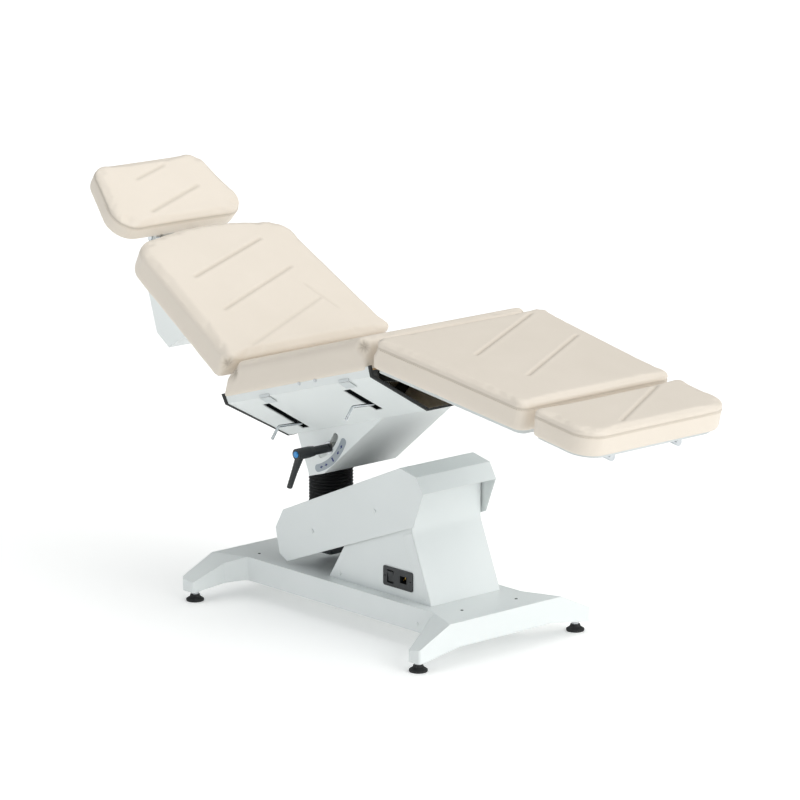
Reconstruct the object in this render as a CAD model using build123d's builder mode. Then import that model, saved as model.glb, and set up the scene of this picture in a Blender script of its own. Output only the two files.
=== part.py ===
import os
from math import atan2, cos, degrees, hypot, radians, sin

from build123d import *

# Adjustable treatment and exam table: welded base, parallelogram lift arm, tilting seat,
# hinged back and leg sections, sliding foot section and adjustable headrest.
# Millimetres. +X runs to the foot end, +Y to the far side, +Z up, floor at z = 0.

os.makedirs("parts", exist_ok=True)

# ---- sheet, fits and fasteners ----
sheet = 3.0                   # folded steel covers
running = 0.05                # radial clearance of a turning or sliding fit
loose = 0.3                   # radial clearance of the open pivot of the link
face_gap = 2.0                # side clearance between pieces that pass each other

# ---- base ----
base_top = 118.0
beam_bottom = 50.0
beam_half = 160.0
tip_half = 312.0
flare_half = 212.0
tip_bottom = 29.0
tip_top = 67.0
base_corner = 7.0
shoulder_half = 203.0         # half-width of the flat top at the end faces
front_foot = {"beam": 388.0, "flare": 412.0, "tip": 455.0, "end": 499.0}
rear_foot = {"beam": -380.0, "flare": -420.0, "tip": -438.0, "end": -484.0}
pad_x = {1: 467.0, -1: -457.0}
pad_y = 287.0
pad_r = 25.0
stud_r = 6.0
boss_r = 13.0

# ---- pedestal and lift arm ----
pedestal_half = 125.0
arm_pivot = (230.0, 385.0)
arm_length = 474.5
arm_slope = 22.3              # the arm falls to the head end by this much at rest
link_drop = 50.0              # the levelling link lies this far under the arm
arm_pin_r = 12.0
link_pin_r = 8.0
arm_bar_in = 78.0
arm_bar = 18.0
arm_bar_high = 60.0
link_bar_in = 44.0
link_bar = 8.0
link_bar_high = 24.0
cheek_in = 100.0
cheek = 8.0
cover_half = 133.0

# ---- lift actuator ----
motor_pivot = (280.0, 190.0)
rod_pin_reach = 180.0         # along the arm from its pivot
rod_pin_drop = 20.0           # below the arm's centre line
rod_pin_r = 8.0
rod_eye_clear = 7.0           # the eye is open this much round the pin
rod_r = 11.0
actuator_pin_r = 8.0

# ---- column, bellows and tilt ----
post = 60.0
head_half = 70.0
head_plate = 6.0
head_floor = 387.0
tilt_pivot = (-169.0, 588.0)
tilt_pin_r = 10.0
bellows_r = 62.0
bellows_bore_r = 47.0
bellows_bottom = 238.0
pleat_pitch = 9.0
pleat_depth = 6.0
stud_reach = 148.0            # clamp stud from the tilt pivot
stud_angle = -46.0
slot_from = -62.5
slot_to = -28.5
slot_width = 20.0
clamp_r = 5.0

# ---- seat ----
seat_slope = 16.5
tray_half = 300.0
rail_top = 66.0
rail_bottom = 38.0
floor_half = 131.0
tray_floor = -78.0
tray_foot = 503.0
tray_head_top = -131.0
tray_head_floor = -93.0
box_floor = -198.0
box_head = -37.0
box_corner = 27.0
box_foot = 312.0
board = 12.0
seat_pad_top = 138.0
seat_pad_head = -112.0
seat_pad_head_top = -45.0
seat_pad_foot = 484.0

# ---- back section ----
back_slope = -29.5
back_hinge_u = -130.0
back_hinge_w = 84.0
back_end = -28.0
back_tip = -556.0
back_wide = 298.0
back_narrow = 268.0
back_arch_half = 200.0
back_arch_rise = 24.0
back_corner = (54.7, 246.0)       # middle of the corner arc, from the tip and from the middle line
back_corner_end = 109.0
back_pad_bottom = 22.0
back_pad_top = 92.0
back_plate = 10.0             # underside of the back section's frame plate
hinge_r = 12.0
hinge_pin_r = 5.0
ear = 8.0
back_ear_y = 190.0

# ---- headrest ----
head_pivot_reach = 640.0
head_pivot_drop = 4.0
head_slope = -38.0
head_rod_r = 7.0
head_rod_y = 60.0
head_wide = 232.0
head_narrow = 176.0
head_pad_low = 5.0
head_pad_tip = -226.0
head_low_round = 74.0
head_tip_round = 62.0
head_pad_bottom = 16.0
head_pad_top = 68.0
head_board = 8.0

# ---- leg and foot sections ----
leg_slope = -9.5
knee_u = 512.3
knee_w = 36.0
leg_wide = 300.0
leg_narrow = 262.0
leg_start = -16.0
leg_length = 514.0
leg_pad_bottom = 32.0
leg_pad_top = 92.0
leg_plate = 12.0
leg_lip = 18.0
foot_start = 556.0
foot_end = 746.0
foot_wide = 256.0
foot_narrow = 252.0
foot_pad_bottom = 38.0
foot_pad_top = 92.0
foot_rod_r = 10.0
foot_rod_y = 120.0
guide_wall = 4.0


# ---- planes: local x along the slope towards the foot end ----
def side_plane(place, slope=0.0):
    a = radians(slope)
    return Plane(origin=(place[0], 0, place[1]), x_dir=(cos(a), 0, sin(a)), z_dir=(0, -1, 0))


def deck_plane(place, slope=0.0):
    a = radians(slope)
    return Plane(origin=(place[0], 0, place[1]), x_dir=(cos(a), 0, sin(a)), z_dir=(-sin(a), 0, cos(a)))


def cross_plane(place, slope=0.0):
    a = radians(slope)
    return Plane(origin=(place[0], 0, place[1]), x_dir=(0, 1, 0), z_dir=(cos(a), 0, sin(a)))


def local_point(place, slope, along, up):
    a = radians(slope)
    return (place[0] + along * cos(a) - up * sin(a), place[1] + along * sin(a) + up * cos(a))


def save(part, name):
    part.label = name
    export_step(part, f"parts/{name}.step")


arm_a = radians(arm_slope)
column_pivot = (arm_pivot[0] - arm_length * cos(arm_a), arm_pivot[1] - arm_length * sin(arm_a))
link_pivot = (arm_pivot[0], arm_pivot[1] - link_drop)
link_end = (column_pivot[0], column_pivot[1] - link_drop)
rod_pin = local_point(arm_pivot, arm_slope, -rod_pin_reach, -rod_pin_drop)
stud = (
    tilt_pivot[0] + stud_reach * cos(radians(stud_angle)),
    tilt_pivot[1] + stud_reach * sin(radians(stud_angle)),
)
back_hinge = local_point(tilt_pivot, seat_slope, back_hinge_u, back_hinge_w)
knee = local_point(tilt_pivot, seat_slope, knee_u, knee_w)
head_pivot = local_point(back_hinge, back_slope, -head_pivot_reach, -head_pivot_drop)

seat_side = side_plane(tilt_pivot, seat_slope)
seat_cross = cross_plane(tilt_pivot, seat_slope)
seat_deck = deck_plane(tilt_pivot, seat_slope)
arm_side = side_plane(arm_pivot, arm_slope)
back_side = side_plane(back_hinge, back_slope)
back_deck = deck_plane(back_hinge, back_slope)
back_cross = cross_plane(back_hinge, back_slope)
head_side = side_plane(head_pivot, head_slope)
head_deck = deck_plane(head_pivot, head_slope)
leg_side = side_plane(knee, leg_slope)
leg_deck = deck_plane(knee, leg_slope)
leg_cross = cross_plane(knee, leg_slope)


# ---- base frame: one folded shell on four levelling feet ----
def foot_quarter(foot):
    return [
        (foot["beam"], beam_half),
        (foot["flare"], flare_half),
        (foot["tip"], tip_half),
        (foot["end"], tip_half),
    ]


front_quarter = foot_quarter(front_foot)
rear_quarter = foot_quarter(rear_foot)
base_outline = (
    front_quarter
    + [(x, -y) for x, y in reversed(front_quarter)]
    + [(x, -y) for x, y in rear_quarter]
    + list(reversed(rear_quarter))
)


def base_blank(inset):
    # the base as a solid; the same shape inset by the sheet hollows it
    start = tip_bottom - 8 * inset
    with BuildPart() as blank:
        with BuildSketch(Plane.XY.offset(start)) as plan:
            with BuildLine():
                Polyline(*base_outline, close=True)
            make_face()
            fillet(plan.vertices(), base_corner)
            if inset:
                offset(amount=-inset, mode=Mode.REPLACE)
        extrude(amount=base_top - inset - start)
        for sx, foot in ((1, front_foot), (-1, rear_foot)):
            for sy in (1, -1):
                run = foot["end"] - foot["beam"]
                rise = sy * (shoulder_half - beam_half)
                size = hypot(run, rise) * sx * sy
                out = (-rise / size, run / size, 0)
                tip_run = (tip_half - shoulder_half) * abs(run) / hypot(run, rise)
                fall = (base_top - tip_top) / tip_run
                drop = inset * hypot(1, fall)
                slope_plane = Plane(
                    origin=(foot["beam"], sy * beam_half, base_top - drop),
                    x_dir=out,
                    z_dir=(out[1], -out[0], 0),
                )
                with BuildSketch(slope_plane):
                    Polygon((0, 0), (220, -220 * fall), (220, 40), (0, 40), align=None)
                extrude(amount=260 * sx * sy, mode=Mode.SUBTRACT)
    return blank.part


base_outer = base_blank(0)
base_inner = base_blank(sheet)

with BuildPart() as base_frame:
    add(base_outer)
    with BuildSketch(Plane.YZ):
        Polygon(
            (-tip_half + 12, tip_bottom),
            (-beam_half - 10, beam_bottom),
            (beam_half + 10, beam_bottom),
            (tip_half - 12, tip_bottom),
            align=None,
        )
    extrude(amount=front_foot["end"] + 10, both=True, mode=Mode.SUBTRACT)
    add(base_inner, mode=Mode.SUBTRACT)
    for sx in (1, -1):
        with BuildSketch(Plane.XY.offset(tip_bottom - 3)):
            with Locations((pad_x[sx], pad_y), (pad_x[sx], -pad_y)):
                Circle(boss_r)
                Circle(stud_r + running, mode=Mode.SUBTRACT)
        extrude(until=Until.NEXT)
save(base_frame.part, "base_frame")


# ---- levelling feet: threaded studs with lock nuts on conical rubber pads ----
def foot_places():
    return [(pad_x[sx], sy * pad_y) for sx in (1, -1) for sy in (1, -1)]


with BuildPart() as foot_studs:
    with BuildSketch(Plane.XY.offset(10)):
        with Locations(*foot_places()):
            Circle(stud_r)
    extrude(amount=46)
    with BuildSketch(Plane.XY.offset(19.5)):
        with Locations(*foot_places()):
            RegularPolygon(radius=10.5, side_count=6)
    extrude(amount=6)
save(foot_studs.part, "foot_studs")

with BuildPart() as foot_pads:
    for x, y in foot_places():
        with BuildSketch(Plane(origin=(x, y, 0), x_dir=(1, 0, 0), z_dir=(0, -1, 0))):
            Polygon(
                (0, 0),
                (pad_r - 1, 0),
                (pad_r, 1.5),
                (pad_r, 6),
                (15, 13),
                (13, 19),
                (stud_r + running, 19),
                (stud_r + running, 10),
                (0, 10),
                align=None,
            )
        revolve(axis=Axis((x, y, 0), (0, 0, 1)))
save(foot_pads.part, "foot_pads")


# ---- pedestal: folded cover over two bearing cheeks ----
inlet_x = (150.0, 268.0)
inlet_z = (142.0, 196.0)
inlet_centre = (sum(inlet_x) / 2, sum(inlet_z) / 2)
inlet_wide = inlet_x[1] - inlet_x[0]
inlet_high = inlet_z[1] - inlet_z[0]
cover_profile = [
    (-74, base_top),
    (341, base_top),
    (263, 306),
    (263, 424),
    (205, 424),
    (205, 300),
    (-12, 215),
]
cover_hollow = [
    (-69.5, base_top - 1),
    (336.8, base_top - 1),
    (260, 304.4),
    (260, 426),
    (160, 426),
    (-30, 320),
    (-9.8, 216.6),
]

with BuildPart() as pedestal_cover:
    with BuildSketch(Plane.XZ):
        with BuildLine():
            Polyline(*cover_profile, close=True)
        make_face()
    extrude(amount=pedestal_half, both=True)
    waist = [
        e
        for e in pedestal_cover.edges().filter_by(Axis.Y)
        if abs(e.center().X - 263) < 1 and abs(e.center().Z - 306) < 1
    ]
    fillet(waist, 60)
    with BuildSketch(Plane.XZ):
        with BuildLine():
            Polyline(*cover_hollow, close=True)
        make_face()
    extrude(amount=pedestal_half - sheet, both=True, mode=Mode.SUBTRACT)
    with BuildSketch(Plane.XZ.offset(pedestal_half + 1)):
        with Locations(inlet_centre):
            RectangleRounded(inlet_wide - 8, inlet_high - 8, 4)
    extrude(amount=-sheet - 2, mode=Mode.SUBTRACT)
save(pedestal_cover.part, "pedestal_cover")

with BuildPart() as pedestal_frame:
    with BuildSketch(Plane.XZ.offset(cheek_in)):
        Polygon((60, base_top), (300, base_top), (252, 300), (252, 408), (208, 408), (192, 320), align=None)
        with Locations(arm_pivot):
            Circle(arm_pin_r + running, mode=Mode.SUBTRACT)
        with Locations(link_pivot):
            Circle(link_pin_r + running, mode=Mode.SUBTRACT)
        with Locations(inlet_centre):
            RectangleRounded(inlet_wide - 2, inlet_high + 4, 6, mode=Mode.SUBTRACT)
    extrude(amount=cheek)
    mirror(about=Plane.XZ)
    with BuildSketch(Plane.XY.offset(base_top)):
        with Locations((180, 0)):
            Rectangle(240, 2 * cheek_in)
    extrude(amount=6)
    with BuildSketch(Plane.XZ.offset(26)):
        Polygon((255, base_top), (300, base_top), (294, 205), (266, 205), align=None)
        with Locations(motor_pivot):
            Circle(actuator_pin_r + running, mode=Mode.SUBTRACT)
    extrude(amount=6)
    mirror(about=Plane.XZ)
save(pedestal_frame.part, "pedestal_frame")


def pin(place, radius, half_length, name):
    with BuildPart() as shaft:
        with BuildSketch(Plane.XZ):
            with Locations(place):
                Circle(radius)
        extrude(amount=half_length, both=True)
        chamfer(shaft.edges().filter_by(GeomType.CIRCLE), 1)
    save(shaft.part, name)


pin(arm_pivot, arm_pin_r, cheek_in + cheek + 6, "arm_pivot_pin")
pin(link_pivot, link_pin_r, cheek_in + cheek + 4, "link_pivot_pin")
pin(motor_pivot, actuator_pin_r, 36, "motor_pin")

# power inlet: bezel with a rocker switch and a three-pin socket
switch_x = inlet_centre[0] - 30
socket_x = inlet_centre[0] + 22
with BuildPart() as power_inlet:
    with BuildSketch(Plane.XZ.offset(pedestal_half)):
        with Locations(inlet_centre):
            RectangleRounded(inlet_wide, inlet_high, 6)
    extrude(amount=3)
    with BuildSketch(Plane.XZ.offset(pedestal_half)):
        with Locations(inlet_centre):
            RectangleRounded(inlet_wide - 9, inlet_high - 9, 3.5)
    extrude(amount=-36)
    with BuildSketch(Plane.XZ.offset(pedestal_half + 3)):
        with Locations((socket_x, inlet_centre[1])):
            Rectangle(27, 20)
    extrude(amount=-24, mode=Mode.SUBTRACT)
    with BuildSketch(Plane.XZ.offset(pedestal_half + 3)):
        with Locations((switch_x, inlet_centre[1])):
            Rectangle(26, 36)
    extrude(amount=-20, mode=Mode.SUBTRACT)
    with BuildSketch(Plane.XZ.offset(pedestal_half + 3)):
        with Locations((inlet_centre[0] - 51, inlet_centre[1]), (inlet_centre[0] + 51, inlet_centre[1])):
            Circle(2.2)
    extrude(amount=-4, mode=Mode.SUBTRACT)
save(power_inlet.part, "power_inlet")

with BuildPart() as inlet_pins:
    with BuildSketch(Plane.XZ.offset(pedestal_half - 21)):
        contact_low = inlet_centre[1] - 3
        contact_high = inlet_centre[1] + 4
        with Locations((socket_x - 7, contact_low), (socket_x + 7, contact_low), (socket_x, contact_high)):
            Rectangle(2, 5)
    extrude(amount=16)
save(inlet_pins.part, "inlet_pins")

switch_pivot_y = pedestal_half - 5
with BuildPart() as power_switch:
    with BuildSketch(Plane.YZ.offset(switch_x - 12)):
        Polygon(
            (-switch_pivot_y - 9.5, inlet_centre[1] + 15),
            (-switch_pivot_y - 6, inlet_centre[1]),
            (-switch_pivot_y - 4.5, inlet_centre[1] - 15),
            (-switch_pivot_y + 3, inlet_centre[1] - 13),
            (-switch_pivot_y + 5, inlet_centre[1]),
            (-switch_pivot_y + 3, inlet_centre[1] + 13),
            align=None,
        )
    extrude(amount=24)
save(power_switch.part, "power_switch")

with BuildPart() as cover_screws:
    with BuildSketch(Plane.XZ.offset(pedestal_half)):
        with Locations((-30, 135), (318, 132)):
            Circle(5)
    extrude(amount=2)
    with BuildSketch(Plane.XZ.offset(beam_half)):
        with Locations((322, 74)):
            Circle(5)
    extrude(amount=2)
    mirror(about=Plane.XZ)
save(cover_screws.part, "cover_screws")


# ---- lift actuator: housing on the pedestal, rod on the arm ----
actuator_run = (rod_pin[0] - motor_pivot[0], rod_pin[1] - motor_pivot[1])
actuator_length = hypot(*actuator_run)
actuator_slope = degrees(atan2(actuator_run[1], actuator_run[0]))
actuator_axis = Plane(
    origin=(motor_pivot[0], 0, motor_pivot[1]),
    x_dir=(0, 1, 0),
    z_dir=(actuator_run[0], 0, actuator_run[1]),
)
actuator_side = side_plane(motor_pivot, actuator_slope)
housing_end = 188.0
rod_start = 70.0
rod_eye_r = rod_pin_r + rod_eye_clear + 6

with BuildPart() as lift_motor:
    with BuildSketch(actuator_axis.offset(14)):
        Circle(22)
    extrude(amount=housing_end - 14)
    with BuildSketch(actuator_axis.offset(14)):
        RectangleRounded(48, 48, 6)
    extrude(amount=46)
    with BuildSketch(actuator_side.offset(-20)):
        with Locations((44, 62)):
            Circle(24)
        with Locations((44, 30)):
            Rectangle(40, 40)
    extrude(amount=40)
    with BuildSketch(actuator_side.offset(-18)):
        Circle(14)
        with Locations((10, 0)):
            Rectangle(20, 20)
    extrude(amount=36)
    with BuildSketch(actuator_side):
        Circle(actuator_pin_r + running)
    extrude(amount=40, both=True, mode=Mode.SUBTRACT)
    with BuildSketch(actuator_axis.offset(rod_start - 6)):
        Circle(rod_r + running)
    extrude(amount=housing_end, mode=Mode.SUBTRACT)
save(lift_motor.part, "lift_motor")

with BuildPart() as lift_rod:
    with BuildSketch(actuator_axis.offset(rod_start)):
        Circle(rod_r)
    extrude(amount=actuator_length - rod_start - rod_pin_r - rod_eye_clear)
    with BuildSketch(actuator_side):
        with Locations((actuator_length, 0)):
            Circle(rod_eye_r)
    extrude(amount=10, both=True)
    with BuildSketch(actuator_side):
        with Locations((actuator_length, 0)):
            Circle(rod_pin_r + rod_eye_clear)
    extrude(amount=12, both=True, mode=Mode.SUBTRACT)
save(lift_rod.part, "lift_rod")

# ---- lift arm: two bars, cross tubes and brackets for the cover ----
bracket_reach = (118.0, 395.0)
bracket_out = cover_half - sheet
cross_tube_reach = 335.0
link_tie_reach = 330.0
with BuildPart() as lift_arm:
    with BuildSketch(arm_side.offset(arm_bar_in)):
        with Locations((-arm_length / 2, 0)):
            SlotCenterToCenter(arm_length, arm_bar_high)
        with Locations((0, 0), (-arm_length, 0)):
            Circle(arm_pin_r + running, mode=Mode.SUBTRACT)
    extrude(amount=arm_bar)
    with BuildSketch(arm_side.offset(arm_bar_in + arm_bar)):
        with Locations(*[(-reach, 0) for reach in bracket_reach]):
            Rectangle(40, 24)
    extrude(amount=bracket_out - arm_bar_in - arm_bar)
    with BuildSketch(arm_side.offset(22)):
        with Locations((-rod_pin_reach, -rod_pin_drop / 2)):
            Rectangle(34, rod_pin_drop + 28)
        with Locations((-rod_pin_reach, -rod_pin_drop)):
            Circle(rod_pin_r + running, mode=Mode.SUBTRACT)
    extrude(amount=8)
    with BuildSketch(arm_side.offset(30)):
        with Locations((-rod_pin_reach, 4)):
            Rectangle(34, 20)
    extrude(amount=arm_bar_in - 30)
    mirror(about=Plane.XZ)
    with BuildSketch(arm_side):
        with Locations((-cross_tube_reach, 0)):
            Circle(15)
            Circle(11, mode=Mode.SUBTRACT)
    extrude(amount=arm_bar_in, both=True)
save(lift_arm.part, "lift_arm")

pin(rod_pin, rod_pin_r, 34, "rod_pin")
pin(column_pivot, arm_pin_r, arm_bar_in + arm_bar + 4, "column_pivot_pin")
pin(link_end, link_pin_r, link_bar_in + link_bar + 5, "link_end_pin")

with BuildPart() as level_link:
    with BuildSketch(side_plane(link_pivot, arm_slope).offset(link_bar_in)):
        with Locations((-arm_length / 2, 0)):
            SlotCenterToCenter(arm_length, link_bar_high)
        Circle(link_pin_r + running, mode=Mode.SUBTRACT)
        with Locations((-arm_length, 0)):
            Circle(link_pin_r + loose, mode=Mode.SUBTRACT)
    extrude(amount=link_bar)
    mirror(about=Plane.XZ)
    with BuildSketch(side_plane(link_pivot, arm_slope)):
        with Locations((-link_tie_reach, 0)):
            Circle(8)
    extrude(amount=link_bar_in, both=True)
save(level_link.part, "level_link")

# hood over the arm: eight-sided side plates joined by a top sheet, open to the head end and below
hood_outline = [
    (-259, 272),
    (224, 479),
    (290, 465),
    (316, 422),
    (277, 325),
    (-242, 128),
    (-274, 145),
    (-291, 216),
]
hood_cut_x = -128.0
with BuildPart() as arm_cover:
    with BuildSketch(Plane.XZ):
        with BuildLine():
            Polyline(*hood_outline, close=True)
        make_face()
    extrude(amount=cover_half, both=True)
    with BuildSketch(Plane.XZ):
        with BuildLine():
            Polyline(*hood_outline, close=True)
        make_face()
        offset(amount=-sheet, kind=Kind.INTERSECTION, mode=Mode.REPLACE)
        with BuildLine():
            Polyline(
                (hood_cut_x, 600), (-320, 600), (-320, 90), (340, 90), (340, 421), (311.8, 421), close=True
            )
        make_face()
    extrude(amount=cover_half - sheet, both=True, mode=Mode.SUBTRACT)
    with BuildSketch(arm_side.offset(cover_half + 1)):
        with Locations(*[(-reach, 0) for reach in bracket_reach]):
            Circle(3 + running)
    extrude(amount=-2 * cover_half - 2, mode=Mode.SUBTRACT)
save(arm_cover.part, "arm_cover")

with BuildPart() as hood_screws:
    with BuildSketch(arm_side.offset(cover_half)):
        with Locations(*[(-reach, 0) for reach in bracket_reach]):
            Circle(6)
    extrude(amount=2.4)
    with BuildSketch(arm_side.offset(cover_half)):
        with Locations(*[(-reach, 0) for reach in bracket_reach]):
            Circle(3)
    extrude(amount=-sheet)
    mirror(about=Plane.XZ)
save(hood_screws.part, "hood_screws")

# ---- column: square post, boot and the fixed head that the seat tilts on ----
post_bottom = link_end[1] - 16
with BuildPart() as column_post:
    with BuildSketch(Plane.XY.offset(post_bottom)):
        with Locations((column_pivot[0], 0)):
            RectangleRounded(post, post, 6)
    extrude(amount=head_floor - post_bottom)
    with BuildSketch(Plane.XZ):
        with Locations(column_pivot):
            Circle(20)
    extrude(amount=arm_bar_in - 1, both=True)
    with BuildSketch(Plane.XY.offset(post_bottom)):
        with Locations((column_pivot[0], 0)):
            RectangleRounded(post - 8, post - 8, 3)
    extrude(amount=22, mode=Mode.SUBTRACT)
    with BuildSketch(Plane.XZ):
        with Locations(column_pivot):
            Circle(arm_pin_r + running)
        with Locations(link_end):
            Circle(link_pin_r + running)
    extrude(amount=arm_bar_in + 1, both=True, mode=Mode.SUBTRACT)
save(column_post.part, "column_post")

with BuildPart() as bellows:
    pleats = int((head_floor - 4 - bellows_bottom) / pleat_pitch)
    pleat = (head_floor - 4 - bellows_bottom) / pleats
    profile = [(bellows_bore_r, bellows_bottom)]
    for i in range(pleats):
        profile.append((bellows_r - pleat_depth, bellows_bottom + i * pleat))
        profile.append((bellows_r, bellows_bottom + (i + 0.5) * pleat))
    profile.append((bellows_r - pleat_depth, head_floor - 4))
    profile.append((bellows_r, head_floor - 4))
    profile.append((bellows_r, head_floor))
    profile.append((bellows_bore_r, head_floor))
    with BuildSketch(Plane(origin=(column_pivot[0], 0, 0), x_dir=(1, 0, 0), z_dir=(0, -1, 0))):
        with BuildLine():
            Polyline(*profile, close=True)
        make_face()
    revolve(axis=Axis((column_pivot[0], 0, 0), (0, 0, 1)))
save(bellows.part, "bellows")

head_outline = [
    (-262, 500),
    (-222, head_floor),
    (-155, head_floor),
    (-107, 419),
    (-52, 456),
    (-44, 500),
    (-136, 600),
    (-206, 600),
]
boss_out = floor_half - sheet - 0.3
with BuildPart() as column_head:
    with BuildSketch(Plane.XZ.offset(head_half - head_plate)) as cheek_sketch:
        with BuildLine():
            Polyline(*head_outline, close=True)
        make_face()
        fillet(cheek_sketch.vertices().group_by(Axis.Y)[-1], 30)
        with Locations(tilt_pivot):
            Circle(tilt_pin_r + running, mode=Mode.SUBTRACT)
        with Locations(stud):
            Circle(clamp_r + running, mode=Mode.SUBTRACT)
    extrude(amount=head_plate)
    with BuildSketch(Plane.XZ.offset(head_half)):
        with Locations(tilt_pivot):
            Circle(20)
            Circle(tilt_pin_r + running, mode=Mode.SUBTRACT)
    extrude(amount=36)
    mirror(about=Plane.XZ)
    with BuildSketch(Plane.XZ.offset(head_half)):
        with Locations(stud):
            Circle(13)
            Circle(clamp_r + running, mode=Mode.SUBTRACT)
    extrude(amount=boss_out - head_half)
    with BuildSketch(Plane.XY.offset(head_floor)):
        with Locations((-188.5, 0)):
            Rectangle(67, 2 * head_half)
    extrude(amount=head_plate)
save(column_head.part, "column_head")

pin(tilt_pivot, tilt_pin_r, 122, "tilt_pin")

# clamp: stud and washer through the curved slot, hub, handle and push button
hub_near = 248.0
hub_far = 188.0
with BuildPart() as clamp_stud:
    with BuildSketch(Plane.XZ.offset(head_half - head_plate - 8)):
        with Locations(stud):
            Circle(clamp_r)
    extrude(amount=hub_far + 30 - head_half + head_plate + 8)
    with BuildSketch(Plane.XZ.offset(head_half - head_plate - 8)):
        with Locations(stud):
            RegularPolygon(radius=10, side_count=6)
    extrude(amount=8)
    with BuildSketch(Plane.XZ.offset(floor_half + 0.3)):
        with Locations(stud):
            Circle(18)
    extrude(amount=3)
save(clamp_stud.part, "clamp_stud")

with BuildPart() as clamp_spacer:
    with BuildSketch(Plane.XZ.offset(floor_half + 3.3)):
        with Locations(stud):
            Circle(12)
            Circle(clamp_r + running, mode=Mode.SUBTRACT)
    extrude(amount=hub_far - floor_half - 3.3 - 1)
    fillet(clamp_spacer.edges().filter_by(GeomType.CIRCLE).sort_by(SortBy.RADIUS)[-2:], 2)
save(clamp_spacer.part, "clamp_spacer")

handle_fall = 248.0           # direction of the handle in the side view, degrees
handle_length = 108.0
with BuildPart() as clamp_lever:
    with BuildSketch(Plane.XZ.offset(hub_far)):
        with Locations(stud):
            Circle(14)
    extrude(amount=16, taper=-6)
    with BuildSketch(Plane.XZ.offset(hub_far + 16)):
        with Locations(stud):
            Circle(15.7)
    extrude(amount=hub_near - hub_far - 16)
    with BuildSketch(cross_plane(stud, handle_fall).offset(4)):
        with Locations((-hub_near + 16, 0)):
            Ellipse(13, 11)
    with BuildSketch(cross_plane(stud, handle_fall).offset(handle_length * 0.55)):
        with Locations((-hub_near + 12, 0)):
            Ellipse(9.5, 8)
    loft()
    with BuildSketch(cross_plane(stud, handle_fall).offset(handle_length * 0.55)):
        with Locations((-hub_near + 12, 0)):
            Ellipse(9.5, 8)
    with BuildSketch(cross_plane(stud, handle_fall).offset(handle_length)):
        with Locations((-hub_near + 10, 0)):
            Ellipse(8.5, 7)
    loft()
    with BuildSketch(Plane.XZ.offset(hub_far - 1)):
        with Locations(stud):
            Circle(clamp_r + running)
    extrude(amount=34, mode=Mode.SUBTRACT)
    with BuildSketch(Plane.XZ.offset(hub_near + 1)):
        with Locations(stud):
            Circle(9 + running)
    extrude(amount=-13, mode=Mode.SUBTRACT)
save(clamp_lever.part, "clamp_lever")

with BuildPart() as lever_button:
    with BuildSketch(Plane.XZ.offset(hub_near - 7)):
        with Locations(stud):
            Circle(9)
    extrude(amount=11)
    fillet(lever_button.faces().sort_by(Axis.Y)[0].edges(), 2.5)
save(lever_button.part, "lever_button")


# ---- seat: folded tray, tilt box, brackets and levers ----
# The tray's sheet in cross-section: rails, sloping sides and floor.
def tray_line():
    return [
        (-tray_half, rail_top),
        (-tray_half, rail_bottom),
        (-floor_half, tray_floor),
        (floor_half, tray_floor),
        (tray_half, rail_bottom),
        (tray_half, rail_top),
    ]


lever_slots = ((10.0, 147.0, 271.0), (350.0, 167.0, 267.0))
slot_half = 15.0
tray_run = tray_half - floor_half
tray_rise = rail_bottom - tray_floor
side_lean = degrees(atan2(tray_rise, tray_run))


def tray_body(start, end, outer, inner):
    # the tray section between two stations; outer and inner are offsets from its outside line
    with BuildPart() as body:
        with BuildSketch(seat_cross.offset(start)):
            with BuildLine():
                Polyline(*tray_line(), close=True)
            make_face()
            if outer:
                offset(amount=outer, kind=Kind.INTERSECTION, mode=Mode.REPLACE)
            with BuildLine():
                Polyline(*tray_line(), close=True)
            hollow = make_face(mode=Mode.PRIVATE)
            offset(hollow, amount=inner, kind=Kind.INTERSECTION, mode=Mode.SUBTRACT)
            with Locations((0, rail_top)):
                Rectangle(2 * (tray_half + inner), 2 * (sheet + outer), mode=Mode.SUBTRACT)
        extrude(amount=end - start)
    return body.part


def tray_rake(margin):
    # what lies beyond the raked head end of the tray
    lean = (tray_head_top - tray_head_floor) / (rail_top - tray_floor)
    return [
        (tray_head_floor + lean * (-60) + margin, tray_floor - 60),
        (tray_head_floor + lean * (rail_top + 60 - tray_floor) + margin, rail_top + 60),
        (tray_head_top - 80, rail_top + 60),
        (tray_head_top - 80, tray_floor - 60),
    ]


with BuildPart() as seat_tray:
    add(tray_body(tray_head_top - 20, tray_foot, 0, -sheet))
    with BuildSketch(seat_side):
        Polygon(*tray_rake(0), align=None)
    extrude(amount=tray_half + 10, both=True, mode=Mode.SUBTRACT)
    with BuildSketch(seat_deck.offset(tray_floor - 2)):
        with Locations(((tray_head_top - 20 + 210) / 2, 0)):
            Rectangle(210 - tray_head_top + 20, 212)
    extrude(amount=sheet + 4, mode=Mode.SUBTRACT)
    side_origin = seat_deck.from_local_coords((0, -floor_half, tray_floor))
    lean_up = Vector(-sin(radians(seat_slope)), 0, cos(radians(seat_slope)))
    lean_out = Vector(0, -cos(radians(side_lean)), 0) + lean_up * sin(radians(side_lean))
    along_seat = Vector(cos(radians(seat_slope)), 0, sin(radians(seat_slope)))
    near_side = Plane(origin=side_origin, x_dir=along_seat, z_dir=along_seat.cross(lean_out))
    with BuildSketch(near_side):
        for u, low, high in lever_slots:
            stretch = 1 / cos(radians(side_lean))
            with Locations((u, ((low + high) / 2 - floor_half) * stretch)):
                Rectangle(2 * slot_half, (high - low) * stretch)
    extrude(amount=10, both=True, mode=Mode.SUBTRACT)
save(seat_tray.part, "seat_tray")

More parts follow.
